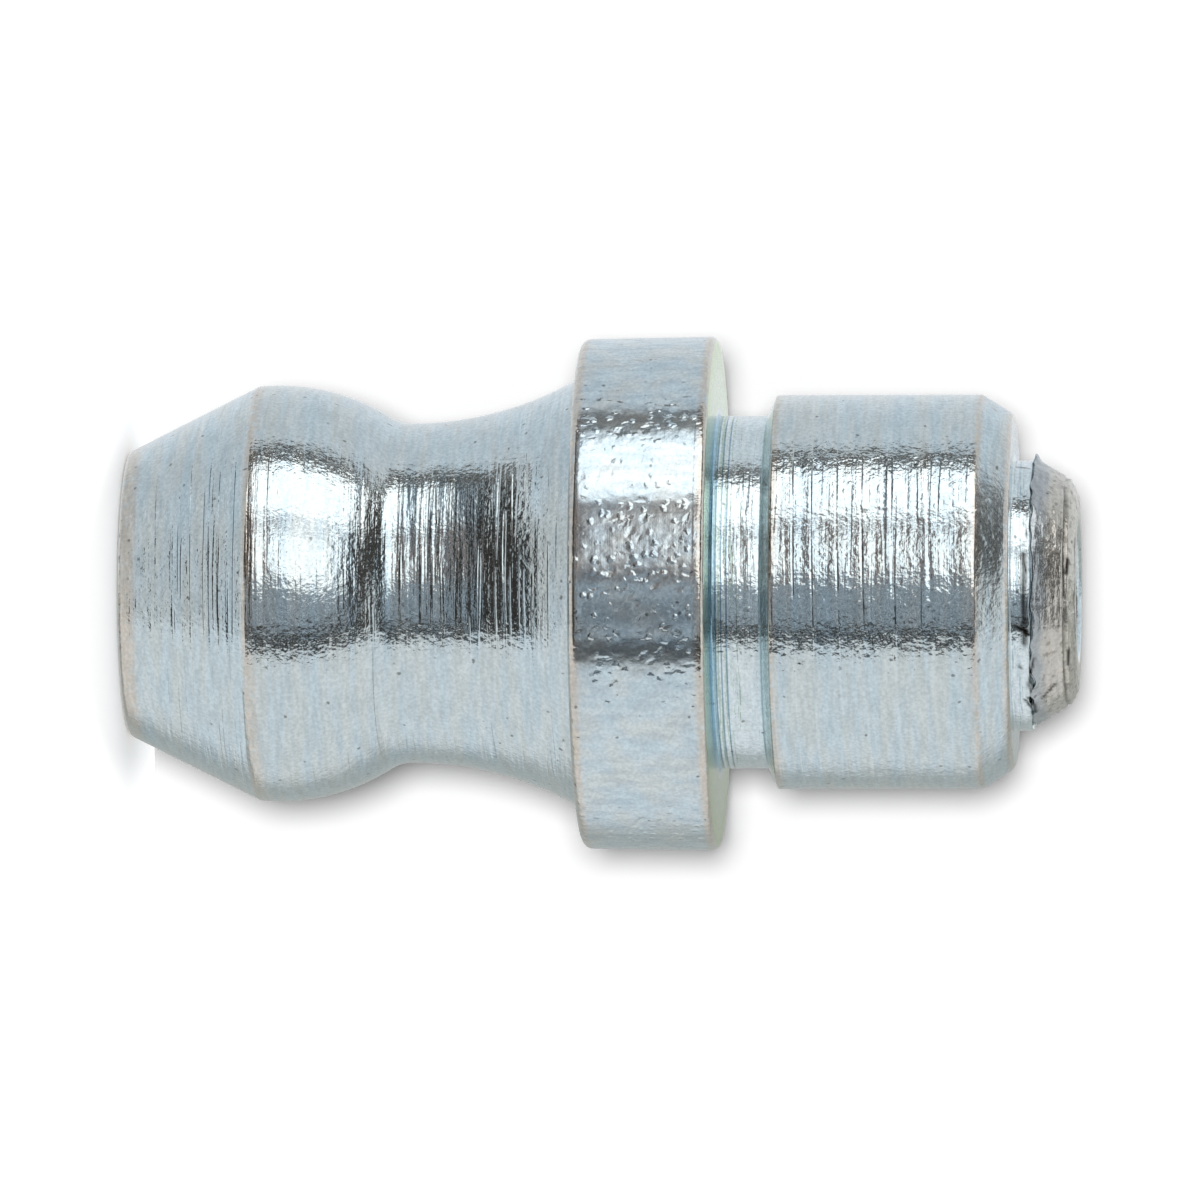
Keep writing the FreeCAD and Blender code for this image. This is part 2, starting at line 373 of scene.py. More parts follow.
def closed_outline(stretches):
    """One closed outline from named stretches, each given as (name, points, radius of the corner at its start).

    A round of radius R that turns by an angle begins R tan(angle / 2) before its corner and ends as far
    after it. Returns the points and, for each, the number of its stretch.
    """
    runs = [points for _, points, _ in stretches]
    rounds = []
    for number, (_, _, radius) in enumerate(stretches):
        before, after = runs[number - 1], runs[number]
        corner = after[0]
        into, out = unit(corner - before[-2]), unit(after[1] - corner)
        turn = math.atan2(into[0] * out[1] - into[1] * out[0], into @ out)
        reach = radius * math.tan(abs(turn) / 2)
        side = math.copysign(1, turn) * np.array([-into[1], into[0]])
        centre = corner - into * reach + side * radius
        spoke = -side * radius
        angle = np.linspace(0, turn, 24)[:, None]
        across = np.array([-spoke[1], spoke[0]])
        rounds.append(centre + spoke * np.cos(angle) + across * np.sin(angle))
        runs[number - 1] = np.concatenate([cut_back(before, corner, reach), [corner - into * reach]])
        runs[number] = np.concatenate([[corner + out * reach], cut_back(after, corner, reach)])
    points = np.concatenate([part for pair in zip(rounds, runs) for part in pair])
    owner = np.concatenate([np.full(len(a) + len(b), n) for n, (a, b) in enumerate(zip(rounds, runs))])
    return points, owner


ball_edge_r = math.sqrt(head_ball_r**2 - (ball_centre_z - ball_edge_z) ** 2)
ball_start = -math.degrees(math.asin((ball_centre_z - ball_edge_z) / head_ball_r))
ball_stop = math.degrees(math.atan2(neck_z - ball_centre_z, neck_r + neck_round))
flare_turn = math.degrees(math.asin((collar_z - neck_z) / flare_r))
flare = arc((neck_r + flare_r, neck_z), flare_r, 180, 180 - flare_turn)
rolled_middle = (cone_end_r - lip_round * math.cos(math.radians(lip_angle)), lip_z - lip_round)
cone_round = arc(rolled_middle, lip_round, lip_angle, 90)
body_stretches = [
    ("face", straight((inlet_edge_r, 0), (face_r, 0)), 0.02),
    ("front_cone", straight((face_r, 0), (ball_edge_r, ball_edge_z)), 0.13),
    ("head_ball", arc((0, ball_centre_z), head_ball_r, ball_start, ball_stop), 0.12),
    ("neck", arc((neck_r + neck_round, neck_z), neck_round, ball_stop - 180, -180), 0.0),
    ("flare", flare, 0.0),
    ("collar_face", straight(flare[-1], (collar_r - rim_taper, collar_z)), 0.04),
    ("rim", straight((collar_r - rim_taper, collar_z), (collar_r, seat_z - seat_fall)), 0.15),
    ("seat_face", straight((collar_r, seat_z - seat_fall), (groove_r + groove_round, seat_z)), 0.10),
    ("groove_round", arc((groove_r + groove_round, seat_z + groove_round), groove_round, -90, -180), 0.0),
    ("groove", straight((groove_r, seat_z + groove_round), (groove_r, groove_z)), 0.0),
    ("groove_slope", straight((groove_r, groove_z), (shank_r, shank_z)), 0.05),
    ("shank", straight((shank_r, shank_z), (shank_r, chamfer_z)), 0.04),
    ("chamfer", straight((shank_r, chamfer_z), (end_r, end_z)), 0.05),
    ("end_face", straight((end_r, end_z), (nub_r, end_z)), 0.16),
    ("nub", straight((nub_r, end_z), (nub_r, crack_z)), 0.03),
    ("crack", straight((nub_r, crack_z), (nub_r - crack_depth, crack_z + crack_rise)), 0.012),
    ("lip_edge", straight((nub_r - crack_depth, crack_z + crack_rise), (lip_edge_r, lip_edge_z)), 0.008),
    ("lip_cone", straight((lip_edge_r, lip_edge_z), (cone_end_r, cone_end_z)), 0.012),
    ("lip_round", cone_round, 0.0),
    ("lip_top", straight(cone_round[-1], (opening_r, lip_z)), 0.0),
    ("opening", straight((opening_r, lip_z), (opening_r, hook_z)), 0.15),
    ("hook", straight((opening_r, hook_z), (bore_r, hook_foot_z)), 0.05),
    ("bore", straight((bore_r, hook_foot_z), (bore_r, seat_cone_z)), 0.03),
    ("valve_seat", straight((bore_r, seat_cone_z), (inlet_r, inlet_z)), 0.03),
    ("inlet", straight((inlet_r, inlet_z), (inlet_r, inlet_edge_z)), 0.02),
    ("inlet_edge", straight((inlet_r, inlet_edge_z), (inlet_edge_r, 0)), 0.02),
]
stretch_number = {name: number for number, (name, _, _) in enumerate(body_stretches)}
# how closely each stretch is divided along the outline, in mm; those that light rarely meets have the inner step
step_along = {
    "face": 0.12, "front_cone": 0.11, "head_ball": 0.085, "neck": 0.07, "flare": 0.085, "collar_face": 0.10,
    "rim": 0.15, "seat_face": 0.06, "groove_round": 0.012, "groove": 0.040, "groove_slope": 0.04, "shank": 0.085,
    "chamfer": 0.06, "end_face": 0.07, "nub": 0.04, "crack": 0.03, "lip_edge": 0.02, "lip_cone": 0.026,
    "lip_round": 0.026, "lip_top": 0.05, "opening": 0.10, "hook": 0.15,
}
inner_step = 0.6
turn_per_row = 0.20
fine_steps = 12001
body_rows, body_columns = 352, 280
mark_seed = 8

raw_points, raw_owner = closed_outline(body_stretches)
raw_points = np.concatenate([raw_points, raw_points[:1]])
raw_along = np.concatenate([[0], np.cumsum(np.linalg.norm(np.diff(raw_points, axis=0), axis=1))])
outline_length = raw_along[-1]
fine_along = np.linspace(0, outline_length, fine_steps)
fine_points = np.stack([np.interp(fine_along, raw_along, raw_points[:, axis]) for axis in (0, 1)], axis=1)
fine_owner = raw_owner[np.clip(np.searchsorted(raw_along, fine_along, "right") - 1, 0, len(raw_owner) - 1)]
fine_heading = np.unwrap(np.arctan2(*(np.gradient(fine_points[:, axis], fine_along) for axis in (1, 0))))
fine_bend = np.gradient(fine_heading, fine_along)
fine_step = np.array([step_along.get(name, inner_step) for name, _, _ in body_stretches])[fine_owner]
density = 1 / fine_step + np.abs(fine_bend) / turn_per_row
rows_before = np.concatenate([[0], np.cumsum((density[1:] + density[:-1]) / 2)])
row_along = np.interp(np.arange(body_rows) / body_rows * rows_before[-1], rows_before, fine_along)
outline_r = np.interp(row_along, fine_along, fine_points[:, 0])
outline_z = np.interp(row_along, fine_along, fine_points[:, 1])
heading = np.interp(row_along, fine_along, fine_heading)


def along_of(name, share=0.0):
    """Where a stretch starts on the outline, or the given share of the way along it."""
    own = fine_along[fine_owner == stretch_number[name]]
    return own[0] + share * (own[-1] - own[0])


def rows_between(start, end, soft):
    """For each row, 1 between two places given as (stretch, share of the way along it), with soft ends."""
    return window(row_along, along_of(*start), along_of(*end), soft)


def on_stretches(first, last, soft):
    """For each row, 1 from the first stretch to the end of the last one, with soft ends."""
    return rows_between((first, 0.0), (last, 1.0), soft)


# directions: the camera sees the side at a turn of 0, and +X, which is down in the picture, is at a quarter
column_turn = np.arange(body_columns) / body_columns * 2 * np.pi - np.pi
turned = column_turn[None, :]
along = row_along[:, None]
seed = np.random.default_rng(mark_seed)


def bell(value, middle, width):
    """A bell exp(-((value - middle) / width)^2), which is 1 at its middle."""
    return np.exp(-(((value - middle) / width) ** 2))


def ragged(harmonics, size):
    """A random line round the axis: a sum of sines with random phases, each fainter as its number grows."""
    number = np.arange(harmonics[0], harmonics[1])[:, None]
    phase = seed.uniform(0, 2 * np.pi, number.shape)
    waves = np.sin(number * column_turn + phase) * (harmonics[0] / number) ** 0.5
    return size * waves.sum(0) / np.abs(waves.sum(0)).max()


def dents(how_many, first, last, length, width, lean, depth):
    """Dents pressed in all round: stretched bells exp(-(a/length)^2 - (b/width)^2), with a along each dent.

    The lean is the mean and the spread of a dent's angle to the way round; each is 0.6 to 1.4 times its size.
    """
    pressed = np.zeros((body_rows, body_columns))
    radius = outline_r[:, None]
    for _ in range(how_many):
        at_turn, at_along = seed.uniform(-np.pi, np.pi), seed.uniform(along_of(first), along_of(last, 1.0))
        tilt, size = seed.normal(lean[0], lean[1]), seed.uniform(0.6, 1.4)
        round_way = ((turned - at_turn + np.pi) % (2 * np.pi) - np.pi) * radius
        up_way = along - at_along
        a = round_way * math.cos(tilt) + up_way * math.sin(tilt)
        b = up_way * math.cos(tilt) - round_way * math.sin(tilt)
        pressed += size * depth * np.exp(-((a / (length * size)) ** 2) - (b / width) ** 2)
    return pressed


# what the tools left: a rolled lip with a torn edge, and nicks round the face
by_face_edge = window(along, along_of("front_cone", -0.06), along_of("front_cone", 0.05), 0.05)
inwards = by_face_edge * dents(26, "face", "front_cone", length=0.06, width=0.03, lean=(0.2, 0.4), depth=0.012)
lip = on_stretches("lip_edge", "lip_round", 0.02)[:, None]
# a second step part of the way up the rolled rim, the metal heaped up after it, and faint rolls all the way
step_depth, step_width = 0.038, 0.024
heap_height, heap_width, heap_after = 0.014, 0.035, 0.06
roll_depth, roll_pitch = 0.0045, 0.115
step_two = along - along_of("lip_round", 0.22) - ragged((2, 9), 0.022)
inwards = inwards + step_depth * bell(step_two, 0, step_width) * (0.8 + ragged((2, 12), 0.3))
inwards = inwards - heap_height * bell(step_two, heap_after, heap_width) * (1 + ragged((3, 16), 0.6))
rolled = np.sin((along + ragged((2, 12), 0.035)) / roll_pitch * 2 * np.pi) * (1 + ragged((2, 8), 0.8))
inwards = inwards + roll_depth * rolled * on_stretches("lip_cone", "lip_round", 0.06)[:, None]
torn = dents(60, "lip_cone", "lip_top", length=0.12, width=0.03, lean=(0, 0.1), depth=0.006)
inwards = inwards + lip * (ragged((5, 34), 0.011) + torn)
outwards = np.stack([np.sin(heading), -np.cos(heading)], axis=1)[:, None, :]
grid_r = outline_r[:, None] - inwards * outwards[..., 0]
grid_z = outline_z[:, None] - inwards * outwards[..., 1]

# the torn edge: its line wanders along the axis, it opens and closes, and one spur stands out at the top
edge_lift, curl_height, spur_height = 0.010, 0.10, 0.085
edge_near = bell(along, along_of("lip_edge", 0.6), 0.11)
curl = bell(column_turn, 0.88, 0.06) - 0.4 * bell(column_turn, 0.74, 0.05)
grid_z = grid_z + edge_near * (ragged((3, 44), 0.046) - edge_lift - curl_height * curl)
spur = bell(column_turn, -np.pi / 2, 0.22)
proud = bell(along, along_of("lip_cone"), 0.07)
grid_r = grid_r + proud * (ragged((4, 36), 0.018) + spur_height * spur)

# the rim and the nub run a little off the axis, towards +X, and the lip does not
rim_off_axis, nub_off_axis = 0.02, 0.065
off_axis = rim_off_axis * on_stretches("collar_face", "seat_face", 0.2)
off_axis = off_axis + nub_off_axis * rows_between(("end_face", 0.9), ("crack", 0.6), 0.12)
body_points = np.stack(
    [grid_r * np.sin(turned) + off_axis[:, None], -grid_r * np.cos(turned), grid_z], axis=-1
).reshape(-1, 3)
body_points[:, 2] = np.clip(body_points[:, 2], 0, lip_z)


def place_in_mm(tree):
    """The place on the object in mm, for patterns of a real size."""
    place = add(tree, "TexCoord").outputs["Object"]
    return add(tree, "VectorMath", {0: place, 1: (1 / MM, 1 / MM, 1 / MM)}, operation="MULTIPLY").outputs[0]


# Zinc plated and blue passivated turned steel: a bright, slightly blue metal, with fine turning marks round the
# axis that break up what it reflects, a cream painted highlight on its edges and a bluer, darker tone in its
# corners.
zinc, tree = new_material("zinc_plated_turned_steel")
in_mm = place_in_mm(tree)
round_way = add(tree, "Attribute", attribute_name="turned").outputs["Vector"]
# a number at each point for each part of the body and each pattern; the parts are the mesh's own attributes
value_of = {
    name: add(tree, "Attribute", attribute_name=name).outputs["Fac"]
    for name in (
        "rim", "lip", "edge", "corner", "seat", "painted_light", "marks", "bands", "mottled", "scored", "cone_scored",
        "smooth", "feed", "fed", "crack_shade", "lip_way", "nicked", "ringed", "blistered",
    )
}
# the rim keeps the drawn bar's skin: less of the plating's grain, and no turning fibres
for name, less in (("grained", 0.84), ("off_rim", 1.0)):
    less_there = {0: value_of["rim"], 1: -less, 2: 1.0}
    value_of[name] = add(tree, "Math", less_there, operation="MULTIPLY_ADD").outputs[0]

# noise of a mean of one half: what it follows, its waves per mm along X, Y and Z, and its detail. Round the axis
# it follows the direction outwards in place of X and Y, and the way along the outline in place of Z.
for name, follows, waves, detail in (
    ("fine_marks", round_way, (1.5, 1.5, 11.0), 3.0),
    ("wide_marks", round_way, (0.6, 0.6, 4.2), 2.0),
    ("short_marks", round_way, (6.0, 6.0, 13.0), 3.0),
    ("scores", round_way, (0.9, 0.9, 8.0), 1.0),
    ("cone_scores", round_way, (1.0, 1.0, 12.0), 1.0),
    ("feed_breaks", round_way, (4.0, 4.0, 3.0), 2.0),
    ("lip_marks", round_way, (3.0, 3.0, 10.0), 3.0),
    ("turned_film", round_way, (1.6, 1.6, 5.0), 3.0),
    ("drawn_film", in_mm, (2.0, 2.0, 2.0), 2.0),
    ("drawn_skin", in_mm, (8.0, 8.0, 2.4), 3.0),
    ("rim_waves", in_mm, (4.5, 4.5, 4.5), 1.0),
    ("mottling", in_mm, (6.0, 6.0, 6.0), 1.5),
    ("edge_highlight_patches", in_mm, (6.0, 6.0, 6.0), 2.0),
    ("lip_grain", in_mm, (8.0, 8.0, 8.0), 3.0),
    ("stains", in_mm, (8.0, 8.0, 8.0), 4.0),
    ("coarse_grain", in_mm, (9.0, 9.0, 9.0), 3.0),
    ("nicks", in_mm, (10.0, 10.0, 10.0), 3.0),
    ("clouds", in_mm, (19.0, 19.0, 19.0), 3.0),
    ("fine_grain", in_mm, (21.0, 21.0, 21.0), 2.0),
):
    spread = add(tree, "VectorMath", {0: follows, 1: waves}, operation="MULTIPLY").outputs[0]
    value_of[name] = add(tree, "TexNoise", {"Vector": spread, "Scale": 1.0, "Detail": detail}).outputs["Fac"]

# spots in cells: pits in the plating, and small blisters, slanting dents and short scratches on the drawn bar's
# skin. Each has its place, its cells to a unit of that, the distances from a cell's middle at which the spot ends
# and is full, and the limits of a number that each cell has by chance, below which it is empty and above full.
wandering = add(tree, "TexNoise", {"Vector": in_mm, "Scale": 9.0, "Detail": 2.0}).outputs["Color"]
wandering = {0: wandering, 1: (0.09, 0.09, 0.09), 2: in_mm}
wandering = add(tree, "VectorMath", wandering, operation="MULTIPLY_ADD").outputs[0]
along_dent, over_dent = (
    add(tree, "VectorMath", {0: wandering, 1: Vector(way) * waves}, operation="DOT_PRODUCT").outputs["Value"]
    for way, waves in (((-0.72, 0.25, 0.69), 3.4), ((0.69, 0.25, 0.72), 6.5))
)
dent_place = add(tree, "CombineXYZ", {0: along_dent, 1: over_dent, 2: 3.7}).outputs[0]
scratch_place = add(tree, "VectorMath", {0: wandering, 1: (7.5, 7.5, 3.0)}, operation="MULTIPLY").outputs[0]
for name, spot_place, cells_to_unit, ends, full, empty_at, full_at in (
    ("pits", wandering, 4.4, 0.17, 0.07, 0.64, 0.70),
    ("blisters", wandering, 6.0, 0.42, 0.06, 0.42, 0.52),
    ("slants", dent_place, 1.0, 0.45, 0.05, 0.58, 0.68),
    ("scratches", scratch_place, 1.0, 0.40, 0.05, 0.55, 0.65),
):
    cells = add(tree, "TexVoronoi", {"Vector": spot_place, "Scale": cells_to_unit})
    spot = {"Value": cells.outputs["Distance"], "From Min": ends, "From Max": full}
    spot = add(tree, "MapRange", spot, interpolation_type="SMOOTHSTEP").outputs[0]
    chance = {"Value": cells.outputs["Color"], "From Min": empty_at, "From Max": full_at}
    chance = add(tree, "MapRange", chance, interpolation_type="SMOOTHSTEP").outputs[0]
    value_of[name] = add(tree, "Math", {0: spot, 1: chance}, operation="MULTIPLY").outputs[0]

# the tool's feed line winds up the shank, where the feed less the share of a turn is a whole number, and between
# its turns stand the tool's round cusps
turn_share = add(tree, "SeparateXYZ", {0: add(tree, "UVMap", uv_map="turned_uv").outputs[0]}).outputs[0]
feed_phase = add(tree, "Math", {0: value_of["feed"], 1: turn_share}, operation="SUBTRACT").outputs[0]
off_line = add(tree, "Math", {0: feed_phase, 1: 0.5}, operation="PINGPONG").outputs[0]
feed_turn = add(tree, "Math", {0: feed_phase, 1: 2 * math.pi}, operation="MULTIPLY").outputs[0]
value_of["cusps"] = add(tree, "Math", {0: feed_turn}, operation="COSINE").outputs[0]
# rings that the tool left in the groove, a pitch apart
ring_z, ring_pitch = 9.244, 0.085
over_ring = {0: add(tree, "SeparateXYZ", {0: in_mm}).outputs[2], 1: ring_z}
over_ring = add(tree, "Math", over_ring, operation="SUBTRACT").outputs[0]
ring_turn = add(tree, "Math", {0: over_ring, 1: 2 * math.pi / ring_pitch}, operation="MULTIPLY").outputs[0]
rings = add(tree, "Math", {0: ring_turn}, operation="COSINE").outputs[0]
rings = add(tree, "Math", {0: rings, 1: value_of["ringed"]}, operation="MULTIPLY").outputs[0]
value_of["rings"] = rings
film = {"Fac": value_of["rim"], "Color1": value_of["turned_film"], "Color2": value_of["drawn_film"]}
film = add(tree, "MixRGB", film).outputs[0]

# patterns cut to 0 at a first value and 1 at a second, with a smooth S between them; the first may be the greater
for name, uncut, low, high in (
    ("fibres", value_of["short_marks"], 0.30, 0.70),
    ("scores", value_of["scores"], 0.60, 0.71),
    ("cone_scores", value_of["cone_scores"], 0.55, 0.66),
    ("feed_breaks", value_of["feed_breaks"], 0.30, 0.60),
    ("feed_line", off_line, 0.085, 0.0),
    ("painted_ring_stripes", rings, 0.45, 0.90),
    ("film", film, 0.30, 0.70),
    ("drawn_skin", value_of["drawn_skin"], 0.35, 0.70),
    ("edge_highlight_patches", value_of["edge_highlight_patches"], 0.10, 0.55),
    ("stains", value_of["stains"], 0.54, 0.66),
    ("clouds", value_of["clouds"], 0.25, 0.75),
    ("nicks", value_of["nicks"], 0.54, 0.60),
    ("past_edge", value_of["lip_way"], 0.12, 0.28),
    ("past_step", value_of["lip_way"], 0.15, 0.31),
    ("past_line", value_of["lip_way"], 0.43, 0.50),
):
    cut = {"Value": uncut, "From Min": low, "From Max": high}
    value_of[name] = add(tree, "MapRange", cut, interpolation_type="SMOOTHSTEP").outputs[0]


def strength(most, *names):
    """How strongly a layer shows at each point: its most, times the value of each name."""
    for name in names:
        most = add(tree, "Math", {0: most, 1: value_of[name]}, operation="MULTIPLY").outputs[0]
    return most


def painted(tone, layers):
    """A tone with layers of colour over it, each given as (way of mixing, colour, most, names for its strength)."""
    for way, colour, most, *names in layers:
        layer = {"Fac": strength(most, *names), "Color1": tone, "Color2": colour}
        tone = add(tree, "MixRGB", layer, blend_type=way).outputs[0]
    return tone


# how high each mark stands, in mm: plating grain of 0.03 to 0.1 mm, and turning marks of 0.05 to 0.3 mm
height = 0.0
for most, *names in (
    (0.0068, "coarse_grain", "grained"),
    (0.0042, "fine_grain", "grained"),
    (0.0085, "mottling", "mottled"),
    (0.020, "fine_marks", "marks"),
    (0.006, "short_marks", "marks"),
    (0.020, "wide_marks", "bands"),
    (-0.0052, "scores", "scored"),
    (-0.0050, "cone_scores", "cone_scored"),
    (-0.0060, "feed_line", "feed_breaks", "fed"),
    (0.0021, "cusps", "fed"),
    (0.0016, "rings"),
    (0.0035, "rim_waves", "rim"),
    (0.0078, "blisters", "blistered"),
    (-0.0060, "slants", "blistered"),
    (-0.0040, "scratches", "blistered"),
    (0.0036, "blisters", "mottled"),
    (0.017, "lip_marks", "lip"),
    (0.014, "lip_grain", "lip"),
):
    height = add(tree, "Math", {0: height, 1: strength(most, *names)}, operation="ADD").outputs[0]
bumped = add(tree, "Bump", {"Height": height, "Strength": 1.0, "Distance": MM}).outputs[0]

# colours: the passivation's film runs from blue to cream, with pits and dirt as dark specks
lip_layers = [
    ("MIX", hex_colour("#dcd9d2"), 1.0, "past_step"),
    ("MIX", hex_colour("#dedbd2"), 1.0, "past_line"),
    ("MIX", hex_colour("#7d766b"), 0.50, "stains", "past_edge"),
]
body_layers = [
    ("MIX", hex_colour("#e0e9ea"), 1.0, "film"),
    # cream on the convex edges is a painted edge highlight, broken into patches
    ("MIX", hex_colour("#e3d9cc"), 0.8, "edge", "edge_highlight_patches"),
    # bluer and darker in the concave corners and over the groove's rings
    ("MIX", hex_colour("#aed5e8"), 1.0, "corner"),
    # green on the seat face is a painted reflection of what it faces
    ("MIX", hex_colour("#e1e8de"), 1.0, "seat"),
    # a lighter tone painted on the groove and the nub: painted light
    ("MIX", hex_colour("#edfaff"), 1.0, "painted_light"),
    # dark blue stripes on the groove's ring crests: a painted reflection over the real tool rings
    ("MIX", hex_colour("#6896bb"), 0.65, "painted_ring_stripes"),
    ("MIX", painted(hex_colour("#bfc6ca"), lip_layers), 1.0, "lip"),
    ("MULTIPLY", hex_colour("#e8e9ea"), 1.0, "clouds"),
    ("MULTIPLY", hex_colour("#eff0f0"), 1.0, "fibres", "off_rim"),
    ("MULTIPLY", hex_colour("#ebedf0"), 1.0, "drawn_skin", "rim"),
    # paler along the feed line: a painted highlight over the real feed groove
    ("MIX", hex_colour("#eef6f8"), 0.25, "feed_line", "feed_breaks", "fed"),
    ("MIX", hex_colour("#4c4a45"), 0.65, "pits"),
    ("MIX", hex_colour("#4a463f"), 0.8, "nicks", "nicked"),
    # cracks, gouges and the lip's fold drawn dark: painted shade
    ("MIX", hex_colour("#2b2823"), 1.0, "crack_shade"),
]
roughness = 0.080
for name, more in (("rim", 0.085), ("smooth", 0.14), ("lip", 0.18), ("corner", 0.09)):
    rougher = {0: value_of[name], 1: more, 2: roughness}
    roughness = add(tree, "Math", rougher, operation="MULTIPLY_ADD").outputs[0]
metal = {
    "Base Color": painted(hex_colour("#d7e9f2"), body_layers),
    "Metallic": 1.0,
    "Roughness": roughness,
    # the seat face's green in its reflection is painted as well
    "Specular Tint": painted(hex_colour("#ffffff"), [("MIX", hex_colour("#e9f3da"), 1.0, "seat")]),
    "Normal": bumped,
}
add(tree, "OutputMaterial", {"Surface": add(tree, "BsdfPrincipled", metal).outputs[0]})

body = make_piece("turned_body", body_points, skin(body_rows, body_columns, True, True), material=zinc)


def give_rows(name, values):
    """Stores one number for each row of the body's grid, or for each of its points, as an attribute."""
    spread = np.broadcast_to(values if np.ndim(values) == 2 else values[:, None], (body_rows, body_columns))
    stored = body.data.attributes.new(name, "FLOAT", "POINT")
    stored.data.foreach_set("value", np.ascontiguousarray(spread, np.float32).reshape(-1))


# how sharply the outline bends, in 1/mm and smoothed, where an edge or a corner has its whole tone
edge_bend, corner_bend = 6.0, 14.0
smoothing = np.hanning(41)
smooth_bend = np.convolve(fine_bend, smoothing / smoothing.sum(), "same")
row_bend = np.interp(row_along, fine_along, smooth_bend)
outside = on_stretches("front_cone", "lip_top", 0.05)
by_crack = rows_between(("nub", 0.5), ("lip_cone", 0.2), 0.05)
# painted edge highlight: the convex edges, a band by the face and the ball part's first band get cream
painted_edge_highlight = np.clip(row_bend / edge_bend, 0, 1) * outside * (1 - by_crack)
painted_edge_highlight = painted_edge_highlight + window(row_along, along_of("front_cone") - 0.1, along_of("front_cone") + 0.30, 0.10)
painted_edge_highlight = painted_edge_highlight + 0.6 * window(row_along, along_of("head_ball"), along_of("head_ball") + 0.17, 0.06)
give_rows("edge", np.clip(painted_edge_highlight, 0, 1))
ringed = rows_between(("groove_round", 0.5), ("groove", 0.36), 0.06)
ringed = ringed + 0.35 * rows_between(("groove", 0.36), ("groove", 1.0), 0.06)
give_rows("ringed", ringed)
# where the body is bluer and darker: its concave corners, and a little over the groove's rings
in_corner = np.clip(-row_bend / corner_bend, 0, 1) * on_stretches("seat_face", "shank", 0.05)
give_rows("corner", np.clip(in_corner + 0.2 * ringed, 0, 1))
on_rim = on_stretches("rim", "rim", 0.15)
give_rows("rim", on_rim)
give_rows("blistered", on_rim[:, None] * (1 - 0.6 * window(turned, -0.66, -0.36, 0.12)))
give_rows("lip", on_stretches("lip_edge", "lip_top", 0.03))
# the seat face's painted green reflection, strongest on its outer part
painted_seat_reflection = rows_between(("seat_face", 0.10), ("seat_face", 0.95), 0.06)
outer_seat_reflection = ramp(row_along, along_of("seat_face", 0.6), along_of("seat_face", 0.2))
give_rows("seat", painted_seat_reflection * (0.6 + 0.4 * outer_seat_reflection))
# painted light: the groove, its slope and the nub get a lighter tone
painted_light = 0.7 * on_stretches("groove", "groove_slope", 0.1)
painted_light = painted_light + 0.3 * rows_between(("groove", 0.0), ("groove", 0.3), 0.1)
give_rows("painted_light", painted_light + 0.9 * on_stretches("nub", "nub", 0.05))
# how deep the turning marks are, fine and wide, and how much the tool scored: deepest on the neck and the flare
mark_depth = {
    "front_cone": 0.22, "head_ball": 0.42, "neck": 0.55, "flare": 0.6, "collar_face": 0.5, "rim": 0.05,
    "seat_face": 0.4, "groove_round": 0.7, "groove": 1.0, "shank": 0.42, "chamfer": 0.12, "end_face": 0.3,
    "nub": 1.2,
}
band_depth = {"head_ball": 0.22, "neck": 0.6, "flare": 0.95, "groove": 0.5, "shank": 0.35, "nub": 0.6}
score_depth = {"front_cone": 0.5, "head_ball": 1.0, "neck": 1.4, "flare": 1.4, "groove": 1.2, "shank": 0.8}
mottled_depth = {"head_ball": 0.4, "flare": 0.4, "groove": 0.7, "shank": 1.0, "chamfer": 0.9, "nub": 0.6}


def by_stretch(depths):
    """For each row, the depth of its stretch, with a soft change from one stretch to the next."""
    return sum(depth * on_stretches(name, name, 0.12) for name, depth in depths.items())


near_neck = rows_between(("head_ball", 0.78), ("head_ball", 1.0), 0.3)
by_ball_edge = rows_between(("head_ball", 0.0), ("head_ball", 0.11), 0.10)
by_flare = rows_between(("neck", 0.7), ("flare", 0.26), 0.3)
flare_end = rows_between(("flare", 0.62), ("flare", 1.0), 0.3)
marks = by_stretch(mark_depth) + 0.15 * near_neck + 0.9 * by_ball_edge + 0.3 * by_flare - 0.4 * flare_end
bands = by_stretch(band_depth) + 0.2 * near_neck + 0.8 * by_ball_edge + 1.5 * by_flare - 0.6 * flare_end
give_rows("marks", marks)
give_rows("bands", bands)
give_rows("mottled", by_stretch(mottled_depth))
give_rows("scored", by_stretch(score_depth))
on_cone = rows_between(("front_cone", 0.42), ("front_cone", 0.98), 0.2)
give_rows("cone_scored", on_cone + 0.8 * rows_between(("flare", 0.5), ("flare", 0.9), 0.2))
give_rows("fed", on_stretches("shank", "shank", 0.03))
smooth = on_stretches("chamfer", "chamfer", 0.05)
give_rows("smooth", smooth + 0.5 * on_stretches("end_face", "end_face", 0.05))
# heights at which the tool's feed line crosses the side that the camera sees: its pitch grows up the shank
feed_heights = np.array([9.75, 10.107, 10.458, 10.733, 11.139, 11.52, 11.985, 12.55, 13.25, 13.95])
give_rows("feed", np.interp(outline_z, feed_heights, np.arange(len(feed_heights)) + 0.5))


def slit_share(corners, half_width):
    """1 on a line over the outside through (turn, height) corners, falling to 0 over the half width."""
    place = np.stack(np.broadcast_arrays(turned * lip_edge_r, grid_z), axis=-1)
    corners = np.array(corners) * [lip_edge_r, 1]
    nearest = np.full(grid_z.shape, 1.0)
    for start, end in zip(corners[:-1], corners[1:]):
        way = end - start
        share = np.clip(((place - start) @ way) / (way @ way), 0, 1)
        nearest = np.minimum(nearest, np.linalg.norm(place - start - share[..., None] * way, axis=-1))
    return ramp(nearest, half_width, 0) * outside[:, None]


